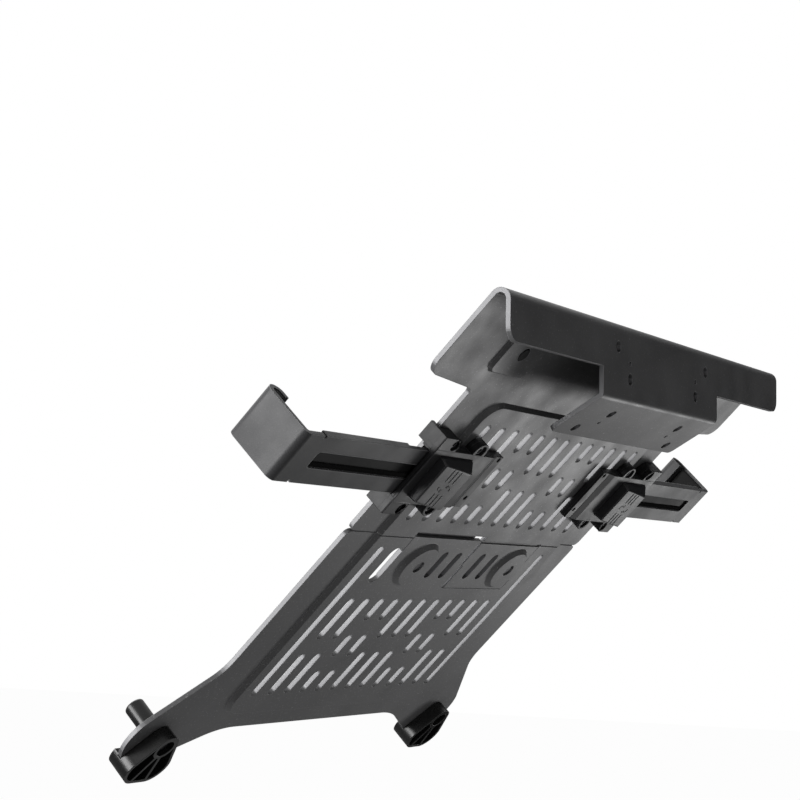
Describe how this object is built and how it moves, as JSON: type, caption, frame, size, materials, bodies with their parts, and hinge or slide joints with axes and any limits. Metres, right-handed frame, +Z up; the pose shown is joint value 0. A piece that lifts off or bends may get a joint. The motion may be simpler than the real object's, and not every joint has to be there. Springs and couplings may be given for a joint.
{
  "type": "laptop tray mount",
  "caption": "Slotted pressed-steel laptop tray with a bolt pattern flange, sliding ratchet side clamps, release buttons, front feet and stop posts.",
  "frame": {"origin": "midway between the upper (100 mm) hole pair, on the flange's outer face", "axes": "+Y out of the flange's outer face, +Z up along the flange, +X across the tray; the tray slopes down and forward at 45 degrees towards -Y"},
  "size_m": [0.4014, 0.198, 0.1957],
  "materials": {
    "tray_steel": "satin dark grey powder coat",
    "arm_steel": "satin dark grey powder coat",
    "black_screw": "black oxide",
    "bright_steel": "zinc plated",
    "housing_plastic": "fine spark texture",
    "button_plastic": "satin grey",
    "rubber": "matt black"
  },
  "bodies": {
    "tray": {"rear_tray_plate": "tray_steel", "front_tray_plate": "tray_steel", "plate_screws": "black_screw", "rear_bumpers": "rubber", "left_clamp_body": "housing_plastic", "right_clamp_body": "housing_plastic", "left_clamp_cover": "housing_plastic", "right_clamp_cover": "housing_plastic", "left_clamp_screws": "black_screw", "right_clamp_screws": "black_screw", "left_button_spring": "bright_steel", "right_button_spring": "bright_steel", "left_pawl_pin": "bright_steel", "right_pawl_pin": "bright_steel", "left_foot": "rubber", "right_foot": "rubber", "left_stop_post": "rubber", "right_stop_post": "rubber", "left_foot_screw": "black_screw", "right_foot_screw": "black_screw"},
    "left_arm": {"left_arm": "arm_steel", "left_lip_pad": "rubber", "left_hook_pad": "rubber"},
    "right_arm": {"right_arm": "arm_steel", "right_lip_pad": "rubber", "right_hook_pad": "rubber"},
    "left_button": {"left_release_button": "button_plastic"},
    "right_button": {"right_release_button": "button_plastic"},
    "left_pawl": {"left_pawl": "bright_steel"},
    "right_pawl": {"right_pawl": "bright_steel"}
  },
  "joints": [
    {"name": "left_arm_slide", "type": "slide", "parent": "tray", "child": "left_arm", "axis": [1, 0, 0], "range_m": [0, 0.036]},
    {"name": "right_arm_slide", "type": "slide", "parent": "tray", "child": "right_arm", "axis": [-1, 0, 0], "range_m": [0, 0.036]},
    {"name": "left_button_press", "type": "slide", "parent": "tray", "child": "left_button", "axis": [0, -0.7071, 0.7071], "range_m": [0, 0.0008], "stiffness_N_per_m": 2500, "springref_m": -0.0005, "deforming": ["left_button_spring"]},
    {"name": "right_button_press", "type": "slide", "parent": "tray", "child": "right_button", "axis": [0, -0.7071, 0.7071], "range_m": [0, 0.0008], "stiffness_N_per_m": 2500, "springref_m": -0.0005, "deforming": ["right_button_spring"]},
    {"name": "left_pawl_hinge", "type": "hinge", "parent": "tray", "child": "left_pawl", "pos_m": [-0.092, -0.06102, -0.05703], "axis": [0, -0.7071, -0.7071], "range_deg": [0, 6]},
    {"name": "right_pawl_hinge", "type": "hinge", "parent": "tray", "child": "right_pawl", "pos_m": [0.092, -0.06102, -0.05703], "axis": [0, 0.7071, 0.7071], "range_deg": [0, 6]}
  ],
  "couplings": [
    {"joint": "left_pawl_hinge", "follows": "left_button_press", "rad_per_m": 125},
    {"joint": "right_pawl_hinge", "follows": "right_button_press", "rad_per_m": 125}
  ]
}
